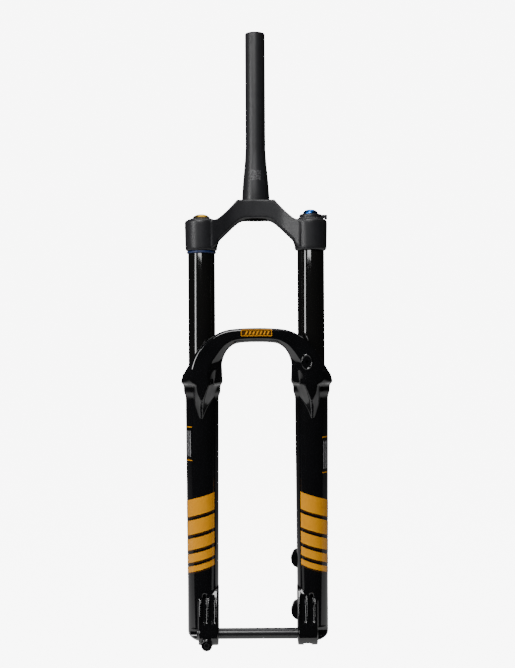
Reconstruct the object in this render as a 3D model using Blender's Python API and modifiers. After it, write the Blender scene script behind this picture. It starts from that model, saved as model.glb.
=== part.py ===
"""Single-crown bicycle suspension fork with a tapered steerer and a 15 mm thru-axle.

Metres, +Z up. The origin is on the steerer's axis at the crown race seat. The wheel
runs between the legs, the front of the fork faces -Y, and +X is the rider's left,
which carries the damper and the brake posts.
"""

import math

import bmesh
import bpy

GAP = 0.0003             # space left between neighbouring pieces
ROUND_STEPS = 32         # sides of the large round pieces
LINING_STEPS = 24        # sides of the caps, seals and bores
SMALL_STEPS = 14         # sides of the small round pieces

STEERER_TOP = 0.242
STEERER_RADIUS = 0.0143
STEERER_BASE_RADIUS = 0.0199
TAPER_TOP = 0.077
TAPER_BASE = 0.004
STEERER_FOOT = -0.0255
STEERER_BORE = 0.0118
STEERER_BASE_BORE = 0.0165

LEG_X = 0.0775           # half the distance between the legs
LEG_Y = -0.024           # forward offset of the legs from the steerer
SIDES = {"air": -1, "damper": 1}

STANCHION_RADIUS = 0.019
STANCHION_BORE = 0.0165
STANCHION_TOP = -0.0300
STANCHION_BOTTOM = -0.4200

CLAMP_TOP = -0.0292
CLAMP_BOTTOM = -0.0728

COLLAR_TOP = -0.2450
POCKET_FLOOR = -0.2670
LEG_BORE_FLOOR = -0.5960
LEG_BOTTOM = -0.6238
FOOT_RECESS_ROOF = -0.6190
WIPER_TOP = -0.2435
WIPER_BOTTOM = -0.2565
BUSHING_RADIUS = 0.0206
BUSHING_HEIGHT = 0.0200
UPPER_BUSHING_TOP = -0.2720
LOWER_BUSHING_TOP = -0.3900
BUMPER_TOP = -0.5870

ARCH_FRONT = -0.0635
ARCH_BACK = -0.0490
ARCH_ROOT_TOP = -0.2365
ARCH_ROOT_BOTTOM = -0.2600

AXLE_Y = -0.044
AXLE_Z = -0.6094
AXLE_RADIUS = 0.0075
AXLE_BORE = 0.0040
AXLE_TIPS = (-0.0856, 0.0820)
AXLE_INSERT_RADIUS = 0.0102
HUB_FACE_X = 0.055       # half the width of the hub that fits between the legs
DROPOUT_OUTER_X = 0.083
DROPOUT_RADIUS = 0.0165

PINCH_X = -0.0713
PINCH_Z = -0.6212
PINCH_FRONT = -0.0625

BRAKE_POST_X = 0.0590
BRAKE_POST_Z = (-0.5122, -0.5864)
BRAKE_POST_FACE = 0.0160
BRAKE_POST_RADIUS = 0.0092
BRAKE_THREAD_RADIUS = 0.0026

HOSE_BOSS_X = 0.0694
HOSE_BOSS_Z = -0.2293
HOSE_BOSS_RADIUS = 0.0085
HOSE_THREAD_RADIUS = 0.0021

SHAFT_RADIUS = 0.0050
SHAFT_BORE = 0.0022
SHAFT_THREAD_RADIUS = 0.0043
SHAFT_THREAD_TOP = -0.5790
PISTON_SEAT = -0.3880    # underside of both pistons with the fork fully extended
PISTON_HEIGHT = 0.0120
CARTRIDGE_RADIUS = 0.0145
CARTRIDGE_BORE = 0.0130
CARTRIDGE_TOP = -0.0453
STEM_RADIUS = 0.0035
STEM_TOP = -0.0455
BASE_VALVE_TOP = -0.1880
FLOATING_PISTON_BASE = -0.1720
SPACER_TOPS = (-0.0510, -0.0700)
SPACER_HEIGHT = 0.0187

# Half outlines of the arch, (distance from the middle, height), from the top down.
ARCH_OUTER = [
    (0.0000, -0.1823), (0.0220, -0.1829), (0.0420, -0.1852),
    (0.0590, -0.1924), (0.0730, -0.2033), (0.0855, -0.2180),
    (0.0950, -0.2347), (0.1030, -0.2497), (0.1063, -0.2560),
]
ARCH_INNER = [
    (0.0000, -0.2020), (0.0150, -0.2023), (0.0290, -0.2042),
    (0.0385, -0.2105), (0.0450, -0.2195), (0.0478, -0.2300),
    (0.0484, -0.2400), (0.0479, -0.2500), (0.0490, -0.2600),
]

# Half outline of the crown seen from the front: its top edge, then its underside.
CROWN_TOP_EDGE = [
    (0.0266, 0.0000), (0.0294, -0.0033),
    (0.0330, -0.0075), (0.0425, -0.0175), (0.0516, -0.0260),
    (0.0560, -0.0287), (0.0620, -0.0300),
]
CROWN_UNDERSIDE = [
    (0.0620, -0.0690), (0.0554, -0.0640), (0.0528, -0.0570),
    (0.0461, -0.0500), (0.0324, -0.0360), (0.0240, -0.0290),
    (0.0160, -0.0262), (0.0000, -0.0258),
]
# Half outline of the crown seen from above: its back edge, then its front edge.
CROWN_BACK_EDGE = [
    (0.0000, 0.0265), (0.0101, 0.0245), (0.0187, 0.0187),
    (0.0300, 0.0110), (0.0480, 0.0020), (0.0700, -0.0045),
]
CROWN_FRONT_EDGE = [
    (0.0775, -0.0460), (0.0640, -0.0440), (0.0500, -0.0370),
    (0.0350, -0.0300), (0.0180, -0.0270), (0.0000, -0.0262),
]


def clear_scene():
    for obj in list(bpy.data.objects):
        bpy.data.objects.remove(obj, do_unlink=True)


def new_collection(name):
    collection = bpy.data.collections.new(name)
    bpy.context.scene.collection.children.link(collection)
    return collection


def finish(name, rgb, metallic, roughness):
    material = bpy.data.materials.new(name)
    material.use_nodes = True
    shader = material.node_tree.nodes["Principled BSDF"]
    shader.inputs["Base Color"].default_value = (*rgb, 1.0)
    shader.inputs["Metallic"].default_value = metallic
    shader.inputs["Roughness"].default_value = roughness
    material.diffuse_color = (*rgb, 1.0)
    return material


def add_part(name, mesh, look, collection, location=(0, 0, 0), rotation=(0, 0, 0)):
    """Put a mesh in the scene as one named piece with its own material."""
    part = bpy.data.objects.new(name, mesh)
    part.location = location
    part.rotation_euler = rotation
    collection.objects.link(part)
    if look:
        mesh.materials.append(finish(name, *look))
    else:
        part.hide_render = True
        part.display_type = "WIRE"
    return part


def profile_mesh(name, profile):
    """A closed loop of (radius, height) points, or an open one that starts and ends on the axis."""
    mesh = bpy.data.meshes.new(name)
    model = bmesh.new()
    points = [model.verts.new((radius, 0, height)) for radius, height in profile]
    for start, end in zip(points, points[1:]):
        model.edges.new((start, end))
    if profile[0][0] > 0:
        model.edges.new((points[-1], points[0]))
    model.to_mesh(mesh)
    model.free()
    return mesh


def turned(name, profile, look, collection, location=(0, 0, 0), rotation=(0, 0, 0),
           steps=ROUND_STEPS):
    """A turned piece: its outer side from top to bottom, then its bore upwards."""
    part = add_part(name, profile_mesh(name, profile), look, collection, location, rotation)
    screw = part.modifiers.new("Turn", "SCREW")
    screw.axis = "Z"
    screw.steps = steps
    screw.render_steps = steps
    screw.use_merge_vertices = True
    screw.merge_threshold = 0.00001
    return part


def ring(outer, inner, top, bottom):
    return [(outer, top), (outer, bottom), (inner, bottom), (inner, top)]


def rod(radius, top, bottom):
    return [(0, top), (radius, top), (radius, bottom), (0, bottom)]


def outline_mesh(name, points, thickness):
    """A flat outline in XY, given thickness along Z about its middle."""
    curve = bpy.data.curves.new(name, "CURVE")
    curve.dimensions = "2D"
    curve.fill_mode = "BOTH"
    curve.extrude = thickness / 2
    spline = curve.splines.new("POLY")
    spline.points.add(len(points) - 1)
    spline.use_cyclic_u = True
    for point, (x, y) in zip(spline.points, points):
        point.co = (x, y, 0, 1)
    return curve_to_mesh(name, curve)


def curve_to_mesh(name, curve):
    guide = bpy.data.objects.new(name + "_guide", curve)
    bpy.context.scene.collection.objects.link(guide)
    evaluated = guide.evaluated_get(bpy.context.evaluated_depsgraph_get())
    mesh = bpy.data.meshes.new_from_object(evaluated)
    mesh.name = name
    bpy.data.objects.remove(guide, do_unlink=True)
    model = bmesh.new()
    model.from_mesh(mesh)
    bmesh.ops.remove_doubles(model, verts=model.verts, dist=0.00001)
    model.to_mesh(mesh)
    model.free()
    return mesh


def box_mesh(name, low, high):
    mesh = bpy.data.meshes.new(name)
    model = bmesh.new()
    bmesh.ops.create_cube(model, size=1.0)
    for vert in model.verts:
        vert.co = [a + (b - a) * (c + 0.5) for a, b, c in zip(low, high, vert.co)]
    model.to_mesh(mesh)
    model.free()
    return mesh


def boolean(part, tool, operation):
    step = part.modifiers.new(tool.name, "BOOLEAN")
    step.operation = operation
    step.solver = "EXACT"
    step.object = tool
    weld = part.modifiers.new(tool.name + "_weld", "WELD")
    weld.merge_threshold = 0.00001


def smooth_through(points, pieces):
    """Points of a Catmull-Rom curve through the given points."""
    padded = [points[0], *points, points[-1]]
    curve = []
    for before, start, end, after in zip(padded, padded[1:], padded[2:], padded[3:]):
        for step in range(pieces):
            t = step / pieces
            curve.append(tuple(
                0.5 * (2 * b + (c - a) * t + (2 * a - 5 * b + 4 * c - d) * t ** 2
                       + (3 * b - a - 3 * c + d) * t ** 3)
                for a, b, c, d in zip(before, start, end, after)))
    curve.append(points[-1])
    return curve


def mirrored(points):
    """Complete a half outline that starts and ends on the middle line."""
    other_half = [(-x, y) for x, y in reversed(points) if x > 0]
    return points + other_half


def mix(a, b, share):
    return tuple(u + (v - u) * share for u, v in zip(a, b))


def leg_place(side):
    return (SIDES[side] * LEG_X, LEG_Y, 0)


FRONT_VIEW = (math.pi / 2, 0, 0)              # outline XY becomes world XZ
SIDE_VIEW = (math.pi / 2, 0, math.pi / 2)     # outline XY becomes world YZ
ALONG_X = (0, math.pi / 2, 0)                 # turned axis along +X
ALONG_Y = (-math.pi / 2, 0, 0)                # turned axis along +Y

SATIN_BLACK = ((0.035, 0.035, 0.038), 0.6, 0.45)
GLOSS_BLACK = ((0.008, 0.008, 0.009), 0.0, 0.10)
HARD_BLACK = ((0.020, 0.017, 0.015), 0.7, 0.18)
GOLD = ((0.80, 0.52, 0.06), 1.0, 0.25)
BLUE = ((0.02, 0.16, 0.55), 1.0, 0.25)
RUBBER = ((0.015, 0.015, 0.016), 0.0, 0.7)
NAVY_RUBBER = ((0.012, 0.025, 0.09), 0.0, 0.5)
STEEL = ((0.55, 0.55, 0.56), 1.0, 0.3)
ALLOY = ((0.60, 0.61, 0.63), 1.0, 0.35)
BRASS = ((0.72, 0.53, 0.22), 1.0, 0.3)
BRONZE = ((0.48, 0.33, 0.16), 0.9, 0.4)
FOAM = ((0.30, 0.30, 0.28), 0.0, 0.95)
PLASTIC = ((0.85, 0.35, 0.05), 0.0, 0.45)
COPPER = ((0.75, 0.38, 0.22), 1.0, 0.35)


def make_steerer(parts):
    profile = [
        (STEERER_RADIUS - 0.0006, STEERER_TOP),
        (STEERER_RADIUS, STEERER_TOP - 0.0006),
        (STEERER_RADIUS, TAPER_TOP),
        (STEERER_BASE_RADIUS, TAPER_BASE),
        (STEERER_BASE_RADIUS, STEERER_FOOT),
        (STEERER_BASE_BORE, STEERER_FOOT),
        (STEERER_BASE_BORE, TAPER_BASE),
        (STEERER_BORE, TAPER_TOP),
        (STEERER_BORE, STEERER_TOP),
    ]
    turned("steerer_tube", profile, SATIN_BLACK, parts)


def make_crown(parts, cutters):
    front = mirrored(smooth_through(CROWN_TOP_EDGE, 2) + CROWN_UNDERSIDE)
    plan = mirrored(CROWN_BACK_EDGE + CROWN_FRONT_EDGE)
    crown = add_part("crown", outline_mesh("crown", front, 0.100), SATIN_BLACK, parts,
                     rotation=FRONT_VIEW)
    plan_block = add_part("crown_plan", outline_mesh("crown_plan", plan, 0.200), None, cutters)
    boolean(crown, plan_block, "INTERSECT")
    clamp = [(0, CLAMP_TOP), (0.0205, CLAMP_TOP), (0.0234, -0.0315), (0.0235, -0.0360),
             (0.0228, -0.0690), (0.0212, CLAMP_BOTTOM), (0, CLAMP_BOTTOM)]
    for side in SIDES:
        sleeve = turned("crown_clamp_" + side, clamp, None, cutters, leg_place(side))
        boolean(crown, sleeve, "UNION")
    for side in SIDES:
        bore = turned("crown_bore_" + side, rod(STANCHION_RADIUS + GAP, 0.010, -0.100),
                      None, cutters, leg_place(side))
        boolean(crown, bore, "DIFFERENCE")
    steerer_bore = turned("crown_steerer_bore", rod(STEERER_BASE_RADIUS + GAP, 0.010, -0.100),
                          None, cutters)
    boolean(crown, steerer_bore, "DIFFERENCE")


def make_stanchions(parts):
    for side in SIDES:
        tube = ring(STANCHION_RADIUS, STANCHION_BORE, STANCHION_TOP, STANCHION_BOTTOM)
        turned(side + "_stanchion", tube, HARD_BLACK, parts, leg_place(side))


def make_air_top(parts):
    place = leg_place("air")
    thread = STANCHION_BORE - GAP
    flange = STANCHION_TOP + GAP
    cap = [(0.0128, -0.0262), (0.0192, -0.0284), (0.0192, flange), (thread, flange),
           (thread, -0.0450), (0.0043, -0.0450), (0.0043, -0.0262)]
    turned("air_top_cap", cap, SATIN_BLACK, parts, place, steps=LINING_STEPS)
    valve = [(0, -0.0240), (0.0026, -0.0240), (0.0040, -0.0255), (0.0040, -0.0500),
             (0, -0.0500)]
    turned("air_valve", valve, BRASS, parts, place, steps=SMALL_STEPS)
    dome = [(0, -0.0206), (0.0045, -0.0208), (0.0090, -0.0224), (0.0118, -0.0246),
            (0.0123, -0.0259), (0.0098, -0.0259), (0.0098, -0.0240), (0.0060, -0.0228),
            (0, -0.0228)]
    turned("air_valve_cap", dome, GOLD, parts, place, steps=LINING_STEPS)
    for number, top in enumerate(SPACER_TOPS):
        spacer = ring(0.0145, 0.0050, top, top - SPACER_HEIGHT)
        turned(f"volume_spacer_{number + 1}", spacer, PLASTIC, parts, place, steps=SMALL_STEPS)


def make_air_spring(parts):
    place = leg_place("air")
    head_top = STANCHION_BOTTOM + 0.0140
    head = ring(STANCHION_BORE - GAP, SHAFT_RADIUS + GAP, head_top, STANCHION_BOTTOM)
    turned("air_seal_head", head, ALLOY, parts, place, steps=SMALL_STEPS)
    turned("top_out_bumper", ring(0.0120, SHAFT_RADIUS + 2 * GAP, PISTON_SEAT - GAP,
                                  head_top + GAP),
           RUBBER, parts, place, steps=SMALL_STEPS)
    top = PISTON_SEAT + PISTON_HEIGHT
    piston = [(0, top), (0.0160, top), (0.0160, top - 0.0030), (0.0135, top - 0.0030),
              (0.0135, PISTON_SEAT + 0.0030), (0.0160, PISTON_SEAT + 0.0030),
              (0.0160, PISTON_SEAT), (0, PISTON_SEAT)]
    turned("air_piston", piston, ALLOY, parts, place, steps=SMALL_STEPS)
    turned("air_piston_seal", ring(0.0162, 0.0135 + GAP, top - 0.0030 - GAP,
                                   PISTON_SEAT + 0.0030 + GAP),
           RUBBER, parts, place, steps=SMALL_STEPS)
    shaft = [(0, PISTON_SEAT - GAP), (SHAFT_RADIUS, PISTON_SEAT - GAP),
             (SHAFT_RADIUS, LEG_BORE_FLOOR + GAP), (SHAFT_THREAD_RADIUS, LEG_BORE_FLOOR + GAP),
             (SHAFT_THREAD_RADIUS, SHAFT_THREAD_TOP), (0, SHAFT_THREAD_TOP)]
    turned("air_shaft", shaft, STEEL, parts, place, steps=SMALL_STEPS)
    bolt = [(0, -0.5800), (0.0040, -0.5800), (0.0040, -0.6206), (0.0085, -0.6206),
            (0.0085, -0.6236), (0.0035, -0.6236), (0.0035, -0.6216), (0, -0.6216)]
    turned("air_foot_bolt", bolt, STEEL, parts, place, steps=SMALL_STEPS)


def make_damper_top(parts, cutters):
    place = leg_place("damper")
    thread = STANCHION_BORE - GAP
    flange = STANCHION_TOP + GAP
    cap = [(0.0180, -0.0270), (0.0192, -0.0280), (0.0192, flange), (thread, flange),
           (thread, -0.0450), (0.0045, -0.0450), (0.0045, -0.0270)]
    turned("damper_top_cap", cap, SATIN_BLACK, parts, place, steps=LINING_STEPS)
    collar = [(0.0150, -0.0217), (0.0160, -0.0240), (0.0162, -0.0267), (0.0060, -0.0267),
              (0.0060, -0.0217)]
    lever = turned("compression_lever", collar, SATIN_BLACK, parts, place, steps=LINING_STEPS)
    tab = box_mesh("lever_tab", (0.0145, -0.0040, -0.0267), (0.0235, 0.0040, -0.0224))
    lip = box_mesh("lever_lip", (0.0200, -0.0040, -0.0285), (0.0235, 0.0040, -0.0250))
    for mesh in (tab, lip):
        boolean(lever, add_part(mesh.name, mesh, None, cutters, place), "UNION")
    dome = [(0, -0.0146), (0.0040, -0.0148), (0.0075, -0.0159), (0.0100, -0.0182),
            (0.01085, -0.0205), (0.01085, -0.0214), (0.0036, -0.0214), (0.0036, -0.0440),
            (0, -0.0440)]
    turned("compression_knob", dome, BLUE, parts, place, steps=LINING_STEPS)


def make_damper(parts):
    place = leg_place("damper")
    head_top = STANCHION_BOTTOM + 0.0160
    turned("damper_seal_head", ring(STANCHION_BORE - GAP, SHAFT_RADIUS + GAP, head_top,
                                    STANCHION_BOTTOM),
           ALLOY, parts, place, steps=SMALL_STEPS)
    turned("cartridge_tube", ring(CARTRIDGE_RADIUS, CARTRIDGE_BORE, CARTRIDGE_TOP, head_top + GAP),
           ALLOY, parts, place, steps=LINING_STEPS)
    turned("compression_stem", rod(STEM_RADIUS, STEM_TOP, BASE_VALVE_TOP + GAP),
           STEEL, parts, place, steps=SMALL_STEPS)
    turned("base_valve", rod(CARTRIDGE_BORE - GAP, BASE_VALVE_TOP, BASE_VALVE_TOP - 0.0160),
           ALLOY, parts, place, steps=SMALL_STEPS)
    top = PISTON_SEAT + PISTON_HEIGHT
    piston = [(0.0122, top), (0.0122, top - 0.0030), (0.0105, top - 0.0030),
              (0.0105, PISTON_SEAT + 0.0030), (0.0122, PISTON_SEAT + 0.0030),
              (0.0122, PISTON_SEAT), (SHAFT_BORE, PISTON_SEAT), (SHAFT_BORE, top)]
    turned("damper_piston", piston, ALLOY, parts, place, steps=SMALL_STEPS)
    turned("damper_piston_ring", ring(0.0125, 0.0105 + GAP, top - 0.0030 - GAP,
                                      PISTON_SEAT + 0.0030 + GAP),
           BRONZE, parts, place, steps=SMALL_STEPS)
    shaft = [(SHAFT_RADIUS, PISTON_SEAT - GAP), (SHAFT_RADIUS, LEG_BORE_FLOOR + GAP),
             (SHAFT_THREAD_RADIUS, LEG_BORE_FLOOR + GAP),
             (SHAFT_THREAD_RADIUS, SHAFT_THREAD_TOP), (SHAFT_BORE, SHAFT_THREAD_TOP),
             (SHAFT_BORE, PISTON_SEAT - GAP)]
    turned("damper_shaft", shaft, STEEL, parts, place, steps=SMALL_STEPS)
    nut = [(0.0040, -0.5800), (0.0040, -0.6206), (0.0085, -0.6206), (0.0085, -0.6236),
           (SHAFT_BORE, -0.6236), (SHAFT_BORE, -0.5800)]
    turned("damper_foot_nut", nut, STEEL, parts, place, steps=SMALL_STEPS)
    turned("rebound_rod", rod(0.0017, top - 0.0010, -0.6237), STEEL, parts, place,
           steps=SMALL_STEPS)
    knob = [(0, -0.6240), (0.0070, -0.6240), (0.0075, -0.6250), (0.0075, -0.6280),
            (0.0062, -0.6292), (0, -0.6292)]
    turned("rebound_knob", knob, GOLD, parts, place, steps=SMALL_STEPS)


def make_compensator(parts):
    """The spring-backed floating piston that makes room for the damper shaft."""
    place = leg_place("damper")
    top = FLOATING_PISTON_BASE + 0.0150
    piston = [(0.0127, top), (0.0127, top - 0.0050), (0.0105, top - 0.0050),
              (0.0105, top - 0.0100), (0.0127, top - 0.0100),
              (0.0127, FLOATING_PISTON_BASE), (STEM_RADIUS + GAP, FLOATING_PISTON_BASE),
              (STEM_RADIUS + GAP, top)]
    turned("floating_piston", piston, ALLOY, parts, place, steps=SMALL_STEPS)
    turned("floating_piston_seal", ring(0.0127, 0.0105 + GAP, top - 0.0050 - GAP,
                                        top - 0.0100 + GAP),
           RUBBER, parts, place, steps=SMALL_STEPS)
    wire = 0.0012
    coil_radius = 0.0095
    turns = 6
    points_a_turn = 8
    low = top + wire + GAP
    high = CARTRIDGE_TOP - wire - GAP
    curve = bpy.data.curves.new("compensator_spring", "CURVE")
    curve.dimensions = "3D"
    curve.bevel_depth = wire
    curve.bevel_resolution = 2
    curve.use_fill_caps = True
    spline = curve.splines.new("POLY")
    count = turns * points_a_turn
    spline.points.add(count)
    for number, point in enumerate(spline.points):
        angle = 2 * math.pi * number / points_a_turn
        height = low + (high - low) * number / count
        point.co = (coil_radius * math.cos(angle), coil_radius * math.sin(angle), height, 1)
    add_part("compensator_spring", curve_to_mesh("compensator_spring", curve), STEEL, parts,
             place)


def make_leg_linings(parts):
    """Wiper, oil foam, bushings, bumper and foot washer, the same in both legs."""
    bore = STANCHION_RADIUS + GAP
    foam_top = WIPER_BOTTOM - GAP
    wide_linings = {
        "_wiper_seal": ([(0.0206, WIPER_TOP), (0.0232, -0.2442), (0.0234, WIPER_BOTTOM),
                         (0.0197, WIPER_BOTTOM), (bore, WIPER_TOP)], RUBBER),
        "_foam_ring": (ring(0.0234, bore, foam_top, POCKET_FLOOR + GAP), FOAM),
        "_upper_bushing": (ring(BUSHING_RADIUS, bore, UPPER_BUSHING_TOP,
                                UPPER_BUSHING_TOP - BUSHING_HEIGHT), BRONZE),
        "_lower_bushing": (ring(BUSHING_RADIUS, bore, LOWER_BUSHING_TOP,
                                LOWER_BUSHING_TOP - BUSHING_HEIGHT), BRONZE),
    }
    bumper = ring(0.0150, SHAFT_RADIUS + 2 * GAP, BUMPER_TOP, LEG_BORE_FLOOR + GAP)
    washer = ring(0.0085, SHAFT_THREAD_RADIUS, FOOT_RECESS_ROOF - GAP, -0.6203)
    for side in SIDES:
        place = leg_place(side)
        for name, (profile, look) in wide_linings.items():
            turned(side + name, profile, look, parts, place, steps=LINING_STEPS)
        turned(side + "_bottom_out_bumper", bumper, RUBBER, parts, place, steps=SMALL_STEPS)
        turned(side + "_crush_washer", washer, COPPER, parts, place, steps=SMALL_STEPS)


def make_casting(parts, cutters):
    """The one-piece lower legs: two tubes, the arch, the dropouts and the brake posts."""
    leg = [(0, COLLAR_TOP), (0.0262, COLLAR_TOP), (0.0278, -0.2475), (0.0293, -0.2560),
           (0.0290, -0.2590), (0.0264, -0.2655), (0.0262, -0.2725), (0.0238, -0.2795),
           (0.0235, -0.2830), (0.0220, -0.5350), (0.0220, -0.6110), (0.0214, -0.6145),
           (0.0188, -0.6180), (0.0159, -0.6204), (0.0125, -0.6224), (0.0105, LEG_BOTTOM),
           (0, LEG_BOTTOM)]
    casting = turned("lower_casting", leg, GLOSS_BLACK, parts, leg_place("air"))
    boolean(casting, turned("damper_leg", leg, None, cutters, leg_place("damper")), "UNION")
    add_arch(casting, cutters)
    add_dropouts(casting, cutters)
    add_brake_posts(casting, cutters)
    bore = [(0, -0.2250), (0.0245, -0.2250), (0.0245, COLLAR_TOP + 0.0001),
            (0.0237, COLLAR_TOP - 0.0007), (0.0237, POCKET_FLOOR), (0.0209, POCKET_FLOOR),
            (0.0209, -0.4150), (0.0203, -0.4150), (0.0203, LEG_BORE_FLOOR),
            (0.0045, LEG_BORE_FLOOR), (0.0045, FOOT_RECESS_ROOF), (0.0095, FOOT_RECESS_ROOF),
            (0.0095, -0.6300), (0, -0.6300)]
    for side in SIDES:
        cutter = turned("leg_bore_" + side, bore, None, cutters, leg_place(side),
                        steps=LINING_STEPS)
        boolean(casting, cutter, "DIFFERENCE")


def add_arch(casting, cutters):
    pieces = 3
    outer = smooth_through(ARCH_OUTER, pieces)
    inner = smooth_through(ARCH_INNER, pieces)
    root_corner = (0.1010, ARCH_ROOT_BOTTOM)
    arch_outline = mirrored(outer + [root_corner] + inner[::-1])
    arch = add_part("arch", outline_mesh("arch", arch_outline, ARCH_BACK - ARCH_FRONT),
                    None, cutters, (0, (ARCH_BACK + ARCH_FRONT) / 2, 0), FRONT_VIEW)
    boolean(casting, arch, "UNION")
    root_half = [point for point in outer if point[1] < ARCH_ROOT_TOP]
    root_half += [root_corner]
    root_half += [point for point in inner[::-1] if point[1] < ARCH_ROOT_TOP]
    for side, sign in SIDES.items():
        root = [(sign * x, z) for x, z in root_half]
        back = -0.0300
        block = add_part("arch_root_" + side, outline_mesh("root", root, back - ARCH_BACK + 0.005),
                         None, cutters, (0, (back + ARCH_BACK - 0.005) / 2, 0), FRONT_VIEW)
        boolean(casting, block, "UNION")
        fairing = [(0, -0.2500), (0.0165, -0.2500), (0.0150, -0.2640), (0.0095, -0.2900),
                   (0.0020, -0.3150), (0, -0.3150)]
        wedge = turned("fairing_" + side, fairing, None, cutters,
                       (sign * (LEG_X - 0.0020), -0.0465, 0), steps=SMALL_STEPS)
        boolean(casting, wedge, "UNION")
    for sign in SIDES.values():
        corner = [(sign * 0.0900, -0.0645), (sign * 0.1080, -0.0300),
                  (sign * 0.1200, -0.0300), (sign * 0.1200, -0.0645)]
        bevel = add_part("arch_corner", outline_mesh("arch_corner", corner, 0.100), None,
                         cutters, (0, 0, ARCH_ROOT_BOTTOM + 0.0450))
        boolean(casting, bevel, "DIFFERENCE")
    wall = 0.20
    span = slice(0, -3 * pieces)
    pocket_top = [mix(a, b, wall) for a, b in zip(outer[span], inner[span])]
    pocket_bottom = [mix(b, a, wall) for a, b in zip(outer[span], inner[span])]
    pocket_depth = 0.0100
    pocket = add_part("arch_pocket",
                      outline_mesh("pocket", mirrored(pocket_top + pocket_bottom[::-1]),
                                   2 * pocket_depth),
                      None, cutters, (0, ARCH_BACK, 0), FRONT_VIEW)
    boolean(casting, pocket, "DIFFERENCE")
    boss = turned("hose_boss", rod(HOSE_BOSS_RADIUS, 0.0015, -0.0050), None, cutters,
                  (HOSE_BOSS_X, ARCH_FRONT, HOSE_BOSS_Z), (math.pi / 2, 0, 0),
                  steps=SMALL_STEPS)
    boss.scale = (1, 1.3, 1)
    boolean(casting, boss, "UNION")
    boss_hole = turned("hose_boss_hole", rod(HOSE_THREAD_RADIUS, 0.0100, -0.0060), None,
                       cutters, (HOSE_BOSS_X, ARCH_FRONT, HOSE_BOSS_Z), (math.pi / 2, 0, 0),
                       steps=12)
    boolean(casting, boss_hole, "DIFFERENCE")


def add_dropouts(casting, cutters):
    nose = [(AXLE_Y - DROPOUT_RADIUS * math.cos(math.radians(angle)),
             AXLE_Z - DROPOUT_RADIUS * math.sin(math.radians(angle)))
            for angle in range(-30, 60, 15)]
    outline = [(-0.0250, -0.5480), (-0.0420, -0.5560), (-0.0520, -0.5750), *nose,
               (-0.0500, -0.6224), (-0.0300, -0.6224), (-0.0250, -0.6100)]
    width = DROPOUT_OUTER_X - HUB_FACE_X
    for side, sign in SIDES.items():
        middle = sign * (DROPOUT_OUTER_X + HUB_FACE_X) / 2
        block = add_part("dropout_" + side, outline_mesh("dropout", outline, width), None,
                         cutters, (middle, 0, 0), SIDE_VIEW)
        boolean(casting, block, "UNION")
    notch = box_mesh("dropout_notch", (0.0633, -0.0700, -0.6300), (0.0743, -0.0380, -0.6202))
    boolean(casting, add_part("dropout_notch", notch, None, cutters), "DIFFERENCE")
    pinch_boss = turned("pinch_boss", rod(0.0078, -0.0335, PINCH_FRONT), None, cutters,
                        (PINCH_X, 0, PINCH_Z), ALONG_Y)
    boolean(casting, pinch_boss, "UNION")
    axle_hole = turned("axle_hole", rod(AXLE_RADIUS + GAP, 0.0700, -0.1200), None, cutters,
                       (0, AXLE_Y, AXLE_Z), ALONG_X)
    boolean(casting, axle_hole, "DIFFERENCE")
    insert_hole = turned("insert_hole", rod(AXLE_INSERT_RADIUS + GAP, 0.1200, 0.0620), None,
                         cutters, (0, AXLE_Y, AXLE_Z), ALONG_X)
    boolean(casting, insert_hole, "DIFFERENCE")
    bolt_hole = [(0, -0.0350), (0.0028, -0.0350), (0.0028, -0.0580), (0.0051, -0.0580),
                 (0.0051, -0.0700), (0, -0.0700)]
    boolean(casting, turned("pinch_hole", bolt_hole, None, cutters, (PINCH_X, 0, PINCH_Z),
                            ALONG_Y), "DIFFERENCE")
    slit = box_mesh("pinch_slit", (-0.0950, AXLE_Y - 0.0006, -0.6350),
                    (-0.0500, AXLE_Y + 0.0006, AXLE_Z))
    boolean(casting, add_part("pinch_slit", slit, None, cutters), "DIFFERENCE")


def add_brake_posts(casting, cutters):
    for number, height in enumerate(BRAKE_POST_Z):
        place = (BRAKE_POST_X, 0, height)
        post = turned(f"brake_post_{number}", rod(BRAKE_POST_RADIUS, BRAKE_POST_FACE, -0.0200),
                      None, cutters, place, ALONG_Y, steps=SMALL_STEPS)
        boolean(casting, post, "UNION")
        hole = turned(f"brake_post_hole_{number}", rod(BRAKE_THREAD_RADIUS, 0.0300, -0.0010),
                      None, cutters, place, ALONG_Y, steps=12)
        boolean(casting, hole, "DIFFERENCE")


def make_axle(parts):
    place = (0, AXLE_Y, AXLE_Z)
    left, right = AXLE_TIPS
    chamfer = 0.0008
    axle = [(AXLE_RADIUS - chamfer, right), (AXLE_RADIUS, right - chamfer),
            (AXLE_RADIUS, left + chamfer), (AXLE_RADIUS - chamfer, left),
            (AXLE_BORE, left), (AXLE_BORE, right)]
    turned("thru_axle", axle, GLOSS_BLACK, parts, place, ALONG_X, steps=LINING_STEPS)
    insert = ring(AXLE_INSERT_RADIUS, AXLE_RADIUS + GAP, 0.0815, 0.0623)
    turned("axle_insert", insert, ALLOY, parts, place, ALONG_X, steps=LINING_STEPS)
    bolt = [(0, -0.0360), (0.0025, -0.0360), (0.0025, -0.0583), (0.0045, -0.0583),
            (0.0045, -0.0622), (0.0022, -0.0622), (0.0022, -0.0600), (0, -0.0600)]
    turned("pinch_bolt", bolt, STEEL, parts, (PINCH_X, 0, PINCH_Z), ALONG_Y,
           steps=SMALL_STEPS)


def make_sag_ring(parts):
    top = CLAMP_BOTTOM - GAP
    band = [(0.0202, top), (0.0208, top - 0.0008), (0.0208, top - 0.0025),
            (0.0202, top - 0.0033), (0.0193, top - 0.0033), (0.0193, top)]
    turned("sag_ring", band, NAVY_RUBBER, parts, leg_place("air"), steps=LINING_STEPS)


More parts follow.
